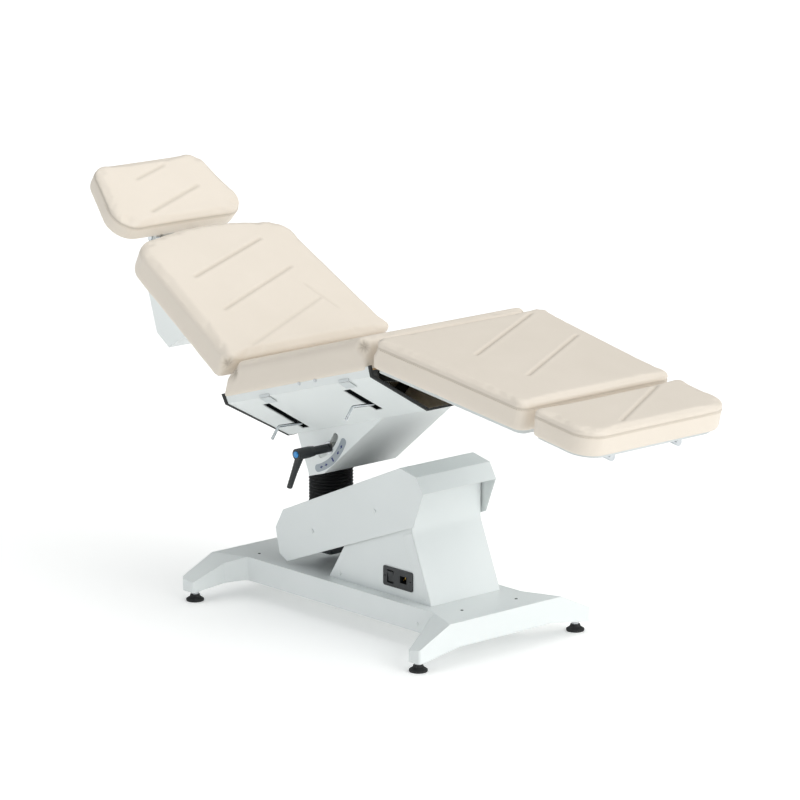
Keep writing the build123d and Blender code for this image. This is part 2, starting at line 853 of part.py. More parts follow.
with BuildPart() as edge_trims:
    trim_out = 1.5
    add(tray_body(tray_foot - 8, tray_foot + trim_out, trim_out, -sheet - trim_out))
    add(tray_body(tray_foot - 9, tray_foot, 0, -sheet), mode=Mode.SUBTRACT)
    head_trim = tray_body(tray_head_top - 20, tray_head_floor + 20, trim_out, -sheet - trim_out)
    add(head_trim)
    with BuildSketch(seat_side):
        Polygon(*tray_rake(-trim_out), align=None)
        Polygon(
            (tray_head_top + 8, rail_top + 20),
            (tray_head_floor + 9, tray_floor - 20),
            (tray_head_floor + 60, tray_floor - 20),
            (tray_head_floor + 60, rail_top + 20),
            align=None,
        )
    extrude(amount=tray_half + 10, both=True, mode=Mode.SUBTRACT)
    add(seat_tray.part, mode=Mode.SUBTRACT)
    with BuildSketch(seat_deck.offset(tray_floor - 12)):
        with Locations((tray_head_floor, 0)):
            Rectangle(90, 212)
    extrude(amount=30, mode=Mode.SUBTRACT)
save(edge_trims.part, "edge_trims")

box_profile = [
    (box_head - 14, tray_floor),
    (box_head - 14, tray_floor - 14),
    (box_head, box_floor),
    (box_corner, box_floor),
    (box_foot, tray_floor),
]
slot_line = CenterArc((0, 0), stud_reach, slot_from - seat_slope, slot_to - slot_from)
with BuildPart() as seat_box:
    with BuildSketch(seat_side):
        with BuildLine():
            Polyline(*box_profile, close=True)
        make_face()
    extrude(amount=floor_half, both=True)
    with BuildSketch(seat_side):
        with BuildLine():
            Polyline(
                (box_head - 60, tray_floor + 5),
                (box_head - 60, box_floor - 5),
                (box_corner - 2, box_floor - 5),
                (box_corner - 2, box_floor),
                (box_foot - 8, tray_floor),
                (box_foot - 8, tray_floor + 5),
                close=True,
            )
        make_face()
    extrude(amount=floor_half - sheet, both=True, mode=Mode.SUBTRACT)
    with BuildSketch(seat_side.offset(floor_half + 1)):
        SlotArc(slot_line, slot_width)
    extrude(amount=-sheet - 2, mode=Mode.SUBTRACT)
save(seat_box.part, "seat_box")

bracket_y = 200.0
tilt_bracket_y = 112.0
tray_inside = tray_floor + sheet
board_low = rail_top - board
with BuildPart() as tilt_brackets:
    with BuildSketch(seat_side.offset(tilt_bracket_y)):
        Polygon((-55, tray_inside), (120, tray_inside), (60, board_low), (-40, board_low), align=None)
        Circle(tilt_pin_r + running, mode=Mode.SUBTRACT)
    extrude(amount=6)
    mirror(about=Plane.XZ)
save(tilt_brackets.part, "tilt_brackets")

with BuildPart() as hinge_brackets:
    with BuildSketch(seat_side.offset(bracket_y)):
        Polygon(
            (-60, board_low),
            (-60, 22),
            (-110, 22),
            (back_hinge_u - 10, back_hinge_w - 8),
            (back_hinge_u + 9, back_hinge_w - 8),
            (-118, board_low),
            align=None,
        )
        with Locations((back_hinge_u, back_hinge_w)):
            Circle(hinge_r)
            Circle(hinge_pin_r + running, mode=Mode.SUBTRACT)
    extrude(amount=ear)
    with BuildSketch(seat_side.offset(bracket_y)):
        Polygon(
            (420, board_low), (420, 20), (490, 12), (knee_u, knee_w - hinge_r), (knee_u, knee_w + 8), align=None
        )
        with Locations((knee_u, knee_w)):
            Circle(hinge_r)
            Circle(hinge_pin_r + running, mode=Mode.SUBTRACT)
    extrude(amount=ear)
    mirror(about=Plane.XZ)
save(hinge_brackets.part, "hinge_brackets")


def hinge_pins(place, name):
    with BuildPart() as pins:
        with BuildSketch(Plane.XZ.offset(back_ear_y - 4)):
            with Locations(place):
                Circle(hinge_pin_r)
        extrude(amount=bracket_y + ear - back_ear_y + 8)
        mirror(about=Plane.XZ)
    save(pins.part, name)


hinge_pins(back_hinge, "back_hinge_pins")
hinge_pins(knee, "knee_pins")

with BuildPart() as seat_board:
    with BuildSketch(seat_deck.offset(board_low)):
        with Locations((192, 0)):
            Rectangle(584, 2 * (tray_half - sheet - 3))
    extrude(amount=board)
save(seat_board.part, "seat_board")

with BuildPart() as seat_cushion:
    with BuildSketch(seat_side):
        Polygon(
            (seat_pad_head, rail_top + 1),
            (seat_pad_foot, rail_top + 1),
            (seat_pad_foot, seat_pad_top),
            (seat_pad_head_top, seat_pad_top),
            align=None,
        )
    extrude(amount=tray_half, both=True)
save(seat_cushion.part, "seat_cushion")

rail_screw_u = (202.0, 270.0)
with BuildPart() as rail_screws:
    with BuildSketch(seat_side.offset(tray_half)):
        with Locations(*[(u, rail_top - 10) for u in rail_screw_u]):
            Circle(5.5)
    extrude(amount=2.6, taper=20)
    mirror(about=Plane.XZ)
save(rail_screws.part, "rail_screws")

label_line = CenterArc((0, 0), 181, -72 - seat_slope, 46)
with BuildPart() as tilt_scale:
    with BuildSketch(seat_side.offset(floor_half)):
        SlotArc(label_line, 21)
    extrude(amount=0.6)
save(tilt_scale.part, "tilt_scale")


# release levers: bent rods through the slots in the near side of the tray
def release_lever(u, root_y, arm_out, name):
    climb = tray_rise / tray_run
    pivot_w = tray_floor + (root_y - 24 - floor_half) * climb + 22
    rod_w = tray_floor + (root_y - floor_half) * climb - 2
    place = seat_cross.offset(u)
    with BuildPart() as lever:
        with BuildLine(place) as route:
            FilletPolyline(
                (-(root_y - 24), pivot_w),
                (-(root_y - 12), rod_w),
                (-(root_y + arm_out), rod_w + 4),
                (-(root_y + arm_out + 30), rod_w - 26),
                radius=11,
            )
        with BuildSketch(Plane(origin=route.wire() @ 0, z_dir=route.wire() % 0)):
            Circle(4)
        sweep()
        with BuildSketch(place.offset(-14)):
            with Locations((-(root_y - 24), pivot_w)):
                Circle(9)
        extrude(amount=28)
        with BuildSketch(place.offset(-16)):
            with Locations((-(root_y - 24), pivot_w)):
                Circle(hinge_pin_r + running)
        extrude(amount=32, mode=Mode.SUBTRACT)
    save(lever.part, name)
    with BuildPart() as lever_pin:
        with BuildSketch(place.offset(-26)):
            with Locations((-(root_y - 24), pivot_w)):
                Circle(hinge_pin_r)
        extrude(amount=52)
        with BuildSketch(place.offset(-24)):
            with Locations((-(root_y - 24), (pivot_w + board_low) / 2)):
                Rectangle(16, board_low - pivot_w)
            with Locations((-(root_y - 24), pivot_w)):
                Circle(8)
        extrude(amount=8)
    save(lever_pin.part, name + "_pivot")


release_lever(lever_slots[0][0], 172, 70, "back_lever")
release_lever(lever_slots[1][0], 196, 62, "leg_lever")


# ---- cushioned sections: a sheet pan, a board and a pad on one outline ----
def pan(deck, outline, low, high):
    with BuildPart() as tray:
        with BuildSketch(deck.offset(low)):
            add(outline)
        extrude(amount=high - low)
        with BuildSketch(deck.offset(low + sheet)):
            offset(outline, amount=-sheet)
        extrude(amount=high - low, mode=Mode.SUBTRACT)
    return tray.part


def slab(deck, outline, low, high, inset):
    with BuildPart() as body:
        with BuildSketch(deck.offset(low)):
            offset(outline, amount=-inset)
        extrude(amount=high - low)
    return body.part


pan_inset = 8.0
pad_corner = 12.0
leg_round = 30.0
foot_round = 76.0
board_gap = 1.0

with BuildSketch() as back_plan:
    with BuildLine():
        arch = back_tip + back_arch_rise
        side_end = back_tip + back_corner_end
        corner_u = back_tip + back_corner[0]
        ThreePointArc((arch, -back_arch_half), (back_tip, 0), (arch, back_arch_half))
        ThreePointArc((arch, back_arch_half), (corner_u, back_corner[1]), (side_end, back_narrow))
        Line((side_end, back_narrow), (back_end, back_wide))
        Line((back_end, back_wide), (back_end, -back_wide))
        Line((back_end, -back_wide), (side_end, -back_narrow))
        ThreePointArc((side_end, -back_narrow), (corner_u, -back_corner[1]), (arch, -back_arch_half))
    make_face()
with BuildSketch() as back_pan_plan:
    offset(back_plan.sketch, amount=-pan_inset)

with BuildPart() as back_frame:
    add(pan(back_deck, back_pan_plan.sketch, back_plate, back_pad_bottom))
    ear_top = back_end - pan_inset
    for turn in (1, -1):
        with BuildSketch(back_side.offset(turn * back_ear_y)):
            Polygon((-90, back_plate), (ear_top, back_plate), (9, 8), (9, -9), (-9, -9), align=None)
            Circle(hinge_r)
            Circle(hinge_pin_r + running, mode=Mode.SUBTRACT)
        extrude(amount=turn * (ear - face_gap / 2))
save(back_frame.part, "back_frame")

# folded channel under the back: side and end walls of one sheet, open above inside a narrow flange
channel_profile = [(-484.97, 20), (-402, -147), (-340, -153), (-223.25, 20)]
channel_section = [(-235.06, 20), (-180, -160), (180, -160), (235.06, 20)]
channel_flange = 18.0
channel_reach = 280.0
channel_window_half = 90.0
channel_window_drop = 17.0


def channel_body(wall, top):
    with BuildPart() as body:
        with BuildSketch(back_side):
            Polygon(*channel_profile, align=None)
            if wall:
                offset(amount=-wall, kind=Kind.INTERSECTION, mode=Mode.REPLACE)
            with Locations((-360, top + 100)):
                Rectangle(400, 200, mode=Mode.SUBTRACT)
        extrude(amount=240, both=True)
        with BuildSketch(back_cross.offset(-500)):
            Polygon(*channel_section, align=None)
            if wall:
                offset(amount=-wall, kind=Kind.INTERSECTION, mode=Mode.REPLACE)
        extrude(amount=channel_reach + 20, mode=Mode.INTERSECT)
    return body.part


with BuildPart() as back_channel:
    add(channel_body(0, back_plate))
    add(channel_body(sheet, back_plate - sheet), mode=Mode.SUBTRACT)
    add(channel_body(channel_flange, back_plate + sheet), mode=Mode.SUBTRACT)
    # window for the headrest guides and rods
    with BuildSketch(back_cross.offset(-500)):
        with Locations((0, back_plate - channel_window_drop)):
            Rectangle(2 * channel_window_half, 2 * channel_window_drop)
    extrude(amount=150, mode=Mode.SUBTRACT)
save(back_channel.part, "back_channel")

with BuildPart() as back_board:
    add(slab(back_deck, back_pan_plan.sketch, back_plate + sheet, back_pad_bottom, sheet + board_gap))
save(back_board.part, "back_board")

with BuildPart() as back_cushion:
    add(slab(back_deck, back_plan.sketch, back_pad_bottom + 1, back_pad_top, 0))
save(back_cushion.part, "back_cushion")

# ---- headrest on two sliding rods ----
guide_half = head_rod_r + guide_wall + 3
with BuildPart() as head_guides:
    with BuildSketch(back_cross.offset(-530)):
        with Locations((-head_rod_y, -head_pivot_drop), (head_rod_y, -head_pivot_drop)):
            Rectangle(2 * guide_half, 2 * guide_half)
            Circle(head_rod_r + running, mode=Mode.SUBTRACT)
    extrude(amount=150)
save(head_guides.part, "head_guides")

with BuildPart() as head_slide:
    with BuildSketch(back_cross.offset(-head_pivot_reach)):
        with Locations((-head_rod_y, -head_pivot_drop), (head_rod_y, -head_pivot_drop)):
            Circle(head_rod_r)
    extrude(amount=230)
    with BuildSketch(Plane.XZ):
        with Locations(head_pivot):
            Circle(9)
    extrude(amount=96, both=True)
save(head_slide.part, "head_slide")

with BuildSketch() as head_plan:
    Polygon(
        (head_pad_low, -head_wide),
        (head_pad_low, head_wide),
        (head_pad_tip, head_narrow),
        (head_pad_tip, -head_narrow),
        align=None,
    )
    fillet(head_plan.vertices().group_by(Axis.X)[-1], head_low_round)
    fillet(head_plan.vertices().group_by(Axis.X)[0], head_tip_round)

with BuildPart() as head_bracket:
    add(slab(head_deck, head_plan.sketch, head_pad_bottom - head_board, head_pad_bottom, 14))
    for y in (-92, 84):
        with BuildSketch(head_side.offset(y)):
            plate_low = head_pad_bottom - head_board
            Polygon((-52, plate_low), (-20, plate_low), (10, -8), (-10, -10), align=None)
            Circle(15)
            Circle(9 + running, mode=Mode.SUBTRACT)
        extrude(amount=8)
    with BuildSketch(head_side):
        Circle(9 + running)
    extrude(amount=83, both=True, mode=Mode.SUBTRACT)
save(head_bracket.part, "head_bracket")

with BuildPart() as head_cushion:
    add(slab(head_deck, head_plan.sketch, head_pad_bottom + 1, head_pad_top, 0))
save(head_cushion.part, "head_cushion")

# ---- leg section ----
with BuildSketch() as leg_plan:
    Polygon(
        (leg_start, -leg_wide),
        (leg_length, -leg_narrow),
        (leg_length, leg_narrow),
        (leg_start, leg_wide),
        align=None,
    )
    fillet(leg_plan.vertices().group_by(Axis.X)[-1], leg_round)
    fillet(leg_plan.vertices().group_by(Axis.X)[0], pad_corner)
with BuildSketch() as leg_pan_plan:
    Polygon(
        (2, -leg_wide + pan_inset),
        (leg_length - 4, -leg_narrow + pan_inset),
        (leg_length - 4, leg_narrow - pan_inset),
        (2, leg_wide - pan_inset),
        align=None,
    )
    fillet(leg_pan_plan.vertices().group_by(Axis.X)[-1], leg_round - pan_inset)
    fillet(leg_pan_plan.vertices().group_by(Axis.X)[0], pad_corner - 4)

with BuildPart() as leg_frame:
    add(pan(leg_deck, leg_pan_plan.sketch, leg_plate, leg_plate + leg_lip))
    for y in (back_ear_y, -back_ear_y):
        with BuildSketch(leg_side.offset(y)):
            Polygon((80, leg_plate), (2, leg_plate), (-9, 8), (-6, -10), (9, -9), align=None)
            Circle(hinge_r)
            Circle(hinge_pin_r + running, mode=Mode.SUBTRACT)
        extrude(amount=(ear - face_gap / 2) * (1 if y > 0 else -1))
save(leg_frame.part, "leg_frame")

with BuildPart() as leg_board:
    add(slab(leg_deck, leg_pan_plan.sketch, leg_plate + sheet, leg_plate + leg_lip, sheet + board_gap))
save(leg_board.part, "leg_board")

with BuildPart() as leg_cushion:
    add(slab(leg_deck, leg_plan.sketch, leg_pad_bottom, leg_pad_top, 0))
save(leg_cushion.part, "leg_cushion")

foot_guide_half = foot_rod_r + guide_wall
foot_rod_up = leg_plate - foot_guide_half
with BuildPart() as foot_guides:
    with BuildSketch(leg_cross.offset(320)):
        with Locations((-foot_rod_y, foot_rod_up), (foot_rod_y, foot_rod_up)):
            Rectangle(2 * foot_guide_half, 2 * foot_guide_half)
            Circle(foot_rod_r + running, mode=Mode.SUBTRACT)
    extrude(amount=185)
save(foot_guides.part, "foot_guides")

# ---- foot section sliding on two rods ----
with BuildSketch() as foot_plan:
    Polygon(
        (foot_start, -foot_wide),
        (foot_end, -foot_narrow),
        (foot_end, foot_narrow),
        (foot_start, foot_wide),
        align=None,
    )
    fillet(foot_plan.vertices().group_by(Axis.X)[-1], foot_round)
    fillet(foot_plan.vertices().group_by(Axis.X)[0], pad_corner)
with BuildSketch() as foot_pan_plan:
    offset(foot_plan.sketch, amount=-pan_inset)

foot_pan_low = foot_pad_bottom - leg_lip
with BuildPart() as foot_frame:
    add(pan(leg_deck, foot_pan_plan.sketch, foot_pan_low, foot_pad_bottom - 1))
save(foot_frame.part, "foot_frame")

with BuildPart() as foot_board:
    add(slab(leg_deck, foot_pan_plan.sketch, foot_pan_low + sheet, foot_pad_bottom - 1, sheet + board_gap))
save(foot_board.part, "foot_board")

with BuildPart() as foot_cushion:
    add(slab(leg_deck, foot_plan.sketch, foot_pad_bottom, foot_pad_top, 0))
save(foot_cushion.part, "foot_cushion")

with BuildPart() as foot_rods:
    with BuildSketch(leg_cross.offset(330)):
        with Locations((-foot_rod_y, foot_rod_up), (foot_rod_y, foot_rod_up)):
            Circle(foot_rod_r)
    extrude(amount=380)
    with BuildSketch(leg_cross.offset(620)):
        with Locations(
            (-foot_rod_y, (foot_rod_up + foot_pan_low) / 2), (foot_rod_y, (foot_rod_up + foot_pan_low) / 2)
        ):
            Rectangle(24, foot_pan_low - foot_rod_up)
    extrude(amount=70)
save(foot_rods.part, "foot_rods")
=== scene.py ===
import math
import bpy
import bmesh
import numpy as np
from mathutils import Matrix, Vector
from mathutils.bvhtree import BVHTree


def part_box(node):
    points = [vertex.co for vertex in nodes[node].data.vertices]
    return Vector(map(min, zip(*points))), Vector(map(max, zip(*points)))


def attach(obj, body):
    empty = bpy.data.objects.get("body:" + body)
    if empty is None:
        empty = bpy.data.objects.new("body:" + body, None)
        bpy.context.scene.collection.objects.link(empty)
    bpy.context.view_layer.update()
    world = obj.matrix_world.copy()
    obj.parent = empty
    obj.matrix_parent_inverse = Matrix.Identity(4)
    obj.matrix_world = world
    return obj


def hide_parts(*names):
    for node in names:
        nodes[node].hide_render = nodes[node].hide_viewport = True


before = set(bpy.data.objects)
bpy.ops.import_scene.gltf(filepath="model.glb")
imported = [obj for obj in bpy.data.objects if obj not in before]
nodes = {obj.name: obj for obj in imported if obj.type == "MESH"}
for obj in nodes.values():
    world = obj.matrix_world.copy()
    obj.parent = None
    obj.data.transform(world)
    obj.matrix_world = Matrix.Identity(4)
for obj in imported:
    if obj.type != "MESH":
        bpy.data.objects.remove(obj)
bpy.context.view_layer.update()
mm = 0.001
print("frame loaded:", len(nodes), "nodes")


# ---- small helpers ----

def linear(hexText):
    values = [int(hexText[i:i + 2], 16) / 255 for i in (1, 3, 5)]
    curve = (v / 12.92 if v <= 0.04045 else ((v + 0.055) / 1.055) ** 2.4 for v in values)
    return tuple(curve) + (1.0,)


def addNode(tree, kind, settings=None, links=None):
    node = tree.nodes.new(kind)
    for key, value in (settings or {}).items():
        if isinstance(key, int) or key in node.inputs:
            node.inputs[key].default_value = value
        else:
            setattr(node, key, value)
    for key, source in (links or {}).items():
        tree.links.new(source, node.inputs[key])
    return node


def startMaterial(name):
    material = bpy.data.materials.new(name)
    material.use_nodes = True
    tree = material.node_tree
    coords = addNode(tree, "ShaderNodeTexCoord").outputs["Object"]
    return material, tree, tree.nodes["Principled BSDF"], coords


def paint(names, material):
    for name in names:
        nodes[name].data.materials.clear()
        nodes[name].data.materials.append(material)


def meshObject(name, form, material):
    mesh = bpy.data.meshes.new(name)
    form.normal_update()
    form.to_mesh(mesh)
    form.free()
    made = bpy.data.objects.new(name, mesh)
    bpy.context.scene.collection.objects.link(made)
    mesh.materials.append(material)
    mesh.shade_smooth()
    return made


# along runs up the section towards the foot end, normal stands up out of its deck
def sectionMatrix(place):
    slope = math.radians(place["slope"])
    x, z = place["origin"]
    return Matrix((
        (math.cos(slope), 0, -math.sin(slope), x * mm),
        (0, 1, 0, 0),
        (math.sin(slope), 0, math.cos(slope), z * mm),
        (0, 0, 0, 1)))


seatPlace = {"origin": (-169.0, 588.0), "slope": 16.5}
backPlace = {"origin": (-317.5, 631.6), "slope": -29.5}
legPlace = {"origin": (312.0, 768.0), "slope": -9.5}
headPlace = {"origin": (-876.5, 943.3), "slope": -38.0}

# ---- camera and studio ----

studio = {
    "cameraPlace": (8.447, -7.517, 3.230),
    "target": (0.1546, -0.0136, 0.6342),
    "lens": 192.4,
    "shift": (-0.0196, 0.0),
    "skyLight": 0.36,
    "floor": "#fbfbfa",
    "floorShade": "#f7f7f6",
    "floorGlow": 0.24,
}


def aim(thing, target):
    line = Vector(target) - thing.location
    thing.rotation_euler = line.to_track_quat("-Z", "Y").to_euler()


cameraData = bpy.data.cameras.new("camera")
cameraData.lens = studio["lens"]
cameraData.shift_x, cameraData.shift_y = studio["shift"]
cameraData.clip_end = 200
camera = bpy.data.objects.new("camera", cameraData)
camera.location = studio["cameraPlace"]
aim(camera, studio["target"])
bpy.context.scene.collection.objects.link(camera)
bpy.context.scene.camera = camera
bpy.context.scene.view_settings.view_transform = "Standard"

world = bpy.data.worlds.new("studio")
world.use_nodes = True
bpy.context.scene.world = world
worldTree = world.node_tree
worldTree.nodes.clear()
rays = addNode(worldTree, "ShaderNodeLightPath")
roomLight = addNode(worldTree, "ShaderNodeBackground",
                    {"Color": linear("#eef4f8"), "Strength": studio["skyLight"]})
backdrop = addNode(worldTree, "ShaderNodeBackground", {"Color": linear("#ffffff"), "Strength": 1.0})
sky = addNode(worldTree, "ShaderNodeMixShader", None,
              {0: rays.outputs["Is Camera Ray"], 1: roomLight.outputs[0], 2: backdrop.outputs[0]})
addNode(worldTree, "ShaderNodeOutputWorld", None, {"Surface": sky.outputs[0]})

# a wide soft light overhead, a strong one past the foot end and a weak one on the near side;
# each is (name, where it comes from, power, spread in degrees, colour)
softLights = [
    ("overheadLight", (0.1, 0.30, 1.0), 1.36, 80, "#fffdf9"),
    ("footEndLight", (1.0, 0.15, 0.42), 1.50, 45, "#ffffff"),
    ("nearSideLight", (-0.7, -1.0, 0.55), 0.42, 50, "#fbfcff"),
]
for name, place, power, spread, colour in softLights:
    lamp = bpy.data.lights.new(name, "SUN")
    lamp.energy = power
    lamp.angle = math.radians(spread)
    lamp.color = linear(colour)[:3]
    light = bpy.data.objects.new(name, lamp)
    light.location = Vector(place) * 5
    aim(light, (0, 0, 0))
    bpy.context.scene.collection.objects.link(light)

floorForm = bmesh.new()
bmesh.ops.create_grid(floorForm, x_segments=4, y_segments=4, size=40)
floorMaterial, floorTree, floorShader, floorCoords = startMaterial("paintedStudioFloor")
floorTone = addNode(floorTree, "ShaderNodeTexNoise", {"Scale": 0.8}, {"Vector": floorCoords})
floorMix = addNode(floorTree, "ShaderNodeMix",
                   {"data_type": "RGBA", 6: linear(studio["floorShade"]),
                    7: linear(studio["floor"])},
                   {0: floorTone.outputs["Fac"]})
floorTree.links.new(floorMix.outputs[2], floorShader.inputs["Base Color"])
floorShader.inputs["Roughness"].default_value = 0.9
floorShader.inputs["Emission Color"].default_value = linear("#ffffff")
floorShader.inputs["Emission Strength"].default_value = studio["floorGlow"]
floor = meshObject("floor", floorForm, floorMaterial)
print("camera and studio ready")

# ---- materials ----

# powder coat: polyester powder baked on folded steel sheet, a satin skin with a fine orange peel
# and edges that the coat rounds over, with a painted highlight along them
def powderCoat(name, light, shade, roughness):
    material, tree, shader, coords = startMaterial(name)
    cloud = addNode(tree, "ShaderNodeTexNoise", {"Scale": 5.5, "Detail": 3.0}, {"Vector": coords})
    tone = addNode(tree, "ShaderNodeMix", {"data_type": "RGBA", 6: linear(shade), 7: linear(light)},
                   {0: cloud.outputs["Fac"]})
    # peel is about 1.5 mm across; drawn at 5 mm so that it shows at all
    peel = addNode(tree, "ShaderNodeTexNoise", {"Scale": 200.0, "Detail": 1.0}, {"Vector": coords})
    rounded = addNode(tree, "ShaderNodeBevel", {"samples": 4, "Radius": 2.5 * mm})
    bump = addNode(tree, "ShaderNodeBump", {"Strength": 0.10, "Distance": 0.6 * mm},
                   {"Height": peel.outputs["Fac"], "Normal": rounded.outputs[0]})
    # painted highlight: where the rounded-edge normal turns from the face normal, the colour is
    # mixed toward near-white
    facing = addNode(tree, "ShaderNodeNewGeometry").outputs["Normal"]
    bend = addNode(tree, "ShaderNodeVectorMath", {"operation": "DOT_PRODUCT"},
                   {0: rounded.outputs[0], 1: facing})
    edge = addNode(tree, "ShaderNodeMapRange", {"From Min": 0.985, "From Max": 0.80},
                   {"Value": bend.outputs["Value"]})
    edgeHighlighted = addNode(tree, "ShaderNodeMix", {"data_type": "RGBA", 7: linear("#f4f6f5")},
                   {0: edge.outputs[0], 6: tone.outputs[2]})
    gloss = addNode(tree, "ShaderNodeMapRange",
                    {"To Min": roughness - 0.05, "To Max": roughness + 0.07},
                    {"Value": cloud.outputs["Fac"]})
    tree.links.new(edgeHighlighted.outputs[2], shader.inputs["Base Color"])
    tree.links.new(gloss.outputs[0], shader.inputs["Roughness"])
    tree.links.new(bump.outputs[0], shader.inputs["Normal"])
    return material


# zinc plate: bright plating on turned and drawn steel, with fine lines and cloudy patches
def zincPlate(name, light, shade, roughness):
    material, tree, shader, coords = startMaterial(name)
    patch = addNode(tree, "ShaderNodeTexNoise", {"Scale": 60.0, "Detail": 4.0}, {"Vector": coords})
    tone = addNode(tree, "ShaderNodeMix", {"data_type": "RGBA", 6: linear(shade), 7: linear(light)},
                   {0: patch.outputs["Fac"]})
    # drawing lines are 0.2 mm apart; drawn at 1 mm
    lines = addNode(tree, "ShaderNodeTexNoise", {"Scale": 900.0, "Detail": 2.0}, {"Vector": coords})
    gloss = addNode(tree, "ShaderNodeMapRange",
                    {"To Min": roughness - 0.06, "To Max": roughness + 0.12},
                    {"Value": lines.outputs["Fac"]})
    bump = addNode(tree, "ShaderNodeBump", {"Strength": 0.12, "Distance": 0.2 * mm},
                   {"Height": lines.outputs["Fac"]})
    tree.links.new(tone.outputs[2], shader.inputs["Base Color"])
    tree.links.new(gloss.outputs[0], shader.inputs["Roughness"])
    tree.links.new(bump.outputs[0], shader.inputs["Normal"])
    shader.inputs["Metallic"].default_value = 1.0
    return material


# moulded black parts: rubber is matt with a dusty bloom, plastic has a fine eroded grain
def moulded(name, light, shade, roughness, grain, index):
    material, tree, shader, coords = startMaterial(name)
    bloom = addNode(tree, "ShaderNodeTexNoise", {"Scale": 25.0, "Detail": 4.0}, {"Vector": coords})
    tone = addNode(tree, "ShaderNodeMix", {"data_type": "RGBA", 6: linear(shade), 7: linear(light)},
                   {0: bloom.outputs["Fac"]})
    pits = addNode(tree, "ShaderNodeTexNoise", {"Scale": 1.0 / grain, "Detail": 2.0},
                   {"Vector": coords})
    bump = addNode(tree, "ShaderNodeBump", {"Strength": 0.25, "Distance": 0.25 * mm},
                   {"Height": pits.outputs["Fac"]})
    gloss = addNode(tree, "ShaderNodeMapRange",
                    {"To Min": roughness - 0.08, "To Max": roughness + 0.08},
                    {"Value": pits.outputs["Fac"]})
    tree.links.new(tone.outputs[2], shader.inputs["Base Color"])
    tree.links.new(gloss.outputs[0], shader.inputs["Roughness"])
    tree.links.new(bump.outputs[0], shader.inputs["Normal"])
    shader.inputs["IOR"].default_value = index
    return material


# upholstery vinyl: PVC skin on a knit back, pressed with a soft leather grain;
# the creases are darkened with painted shade
vinyl = {
    "light": "#e6dccf",
    "shade": "#dfd5c7",
    # the painted shade colour for the creases
    "creaseShade": "#a89d8d",
    "roughness": 0.43,
    "grain": 3.2 * mm,  # pressed cells are about 1.2 mm; drawn larger so that they show
}


def upholsteryVinyl(name):
    material, tree, shader, coords = startMaterial(name)
    cloud = addNode(tree, "ShaderNodeTexNoise", {"Scale": 7.0, "Detail": 3.0}, {"Vector": coords})
    tone = addNode(tree, "ShaderNodeMix",
                   {"data_type": "RGBA", 6: linear(vinyl["shade"]), 7: linear(vinyl["light"])},
                   {0: cloud.outputs["Fac"]})
    # painted shade: the crease mask attribute mixes the vinyl toward the darker colour
    creaseShadeMask = addNode(tree, "ShaderNodeAttribute", {"attribute_name": "creaseShade"})
    folded = addNode(tree, "ShaderNodeMix", {"data_type": "RGBA", 7: linear(vinyl["creaseShade"])},
                     {0: creaseShadeMask.outputs["Fac"], 6: tone.outputs[2]})
    cells = addNode(tree, "ShaderNodeTexVoronoi",
                    {"feature": "DISTANCE_TO_EDGE", "Scale": 1.0 / vinyl["grain"]},
                    {"Vector": coords})
    valley = addNode(tree, "ShaderNodeMapRange", {"From Max": 0.12},
                     {"Value": cells.outputs["Distance"]})
    drape = addNode(tree, "ShaderNodeTexNoise", {"Scale": 22.0, "Detail": 2.0}, {"Vector": coords})
    softly = addNode(tree, "ShaderNodeBump", {"Strength": 0.10, "Distance": 4.0 * mm},
                     {"Height": drape.outputs["Fac"]})
    bump = addNode(tree, "ShaderNodeBump", {"Strength": 0.10, "Distance": 0.35 * mm},
                   {"Height": valley.outputs[0], "Normal": softly.outputs[0]})
    gloss = addNode(tree, "ShaderNodeMapRange",
                    {"To Min": vinyl["roughness"] + 0.08, "To Max": vinyl["roughness"] - 0.03},
                    {"Value": valley.outputs[0]})
    tree.links.new(folded.outputs[2], shader.inputs["Base Color"])
    tree.links.new(gloss.outputs[0], shader.inputs["Roughness"])
    tree.links.new(bump.outputs[0], shader.inputs["Normal"])
    shader.inputs["IOR"].default_value = 1.5
    return material


# birch plywood: pale grain on the faces and thin dark glue lines through the edge
def birchPlywood(name):
    material, tree, shader, coords = startMaterial(name)
    stretched = addNode(tree, "ShaderNodeMapping", {"Scale": (12.0, 260.0, 260.0)},
                        {"Vector": coords})
    grain = addNode(tree, "ShaderNodeTexNoise", {"Scale": 1.0, "Detail": 5.0},
                    {"Vector": stretched.outputs[0]})
    tone = addNode(tree, "ShaderNodeMix",
                   {"data_type": "RGBA", 6: linear("#a98659"), 7: linear("#d3b384")},
                   {0: grain.outputs["Fac"]})
    bump = addNode(tree, "ShaderNodeBump", {"Strength": 0.2, "Distance": 0.3 * mm},
                   {"Height": grain.outputs["Fac"]})
    tree.links.new(tone.outputs[2], shader.inputs["Base Color"])
    tree.links.new(bump.outputs[0], shader.inputs["Normal"])
    shader.inputs["Roughness"].default_value = 0.62
    return material


whiteCoat = powderCoat("powderCoatWhite", "#e9edec", "#e1e6e5", 0.40)
panCoat = powderCoat("powderCoatPan", "#d5dada", "#c9d0d1", 0.36)
darkCoat = powderCoat("powderCoatGraphite", "#4d5255", "#41464a", 0.48)
brightZinc = zincPlate("zincPlateBright", "#d5d8da", "#a9adb1", 0.26)
chromePlate = zincPlate("chromePlatePolished", "#dfe3e6", "#c0c5c9", 0.12)
brassContact = zincPlate("brassTurned", "#d9b45c", "#b98f3d", 0.25)
blackRubber = moulded("rubberMoulded", "#1f2122", "#121314", 0.66, 0.8 * mm, 1.52)
blackPlastic = moulded("polyamideMoulded", "#1d2225", "#121618", 0.42, 1.2 * mm, 1.53)
bluePlastic = moulded("absBlueMoulded", "#3d97d8", "#2a7fc2", 0.25, 1.5 * mm, 1.54)
scaleFilm = moulded("polyesterPrinted", "#a8b1b8", "#939ca4", 0.35, 2.0 * mm, 1.57)
blueInk = moulded("inkScreenPrinted", "#34407c", "#262f66", 0.45, 1.0 * mm, 1.5)
padVinyl = upholsteryVinyl("vinylEmbossed")
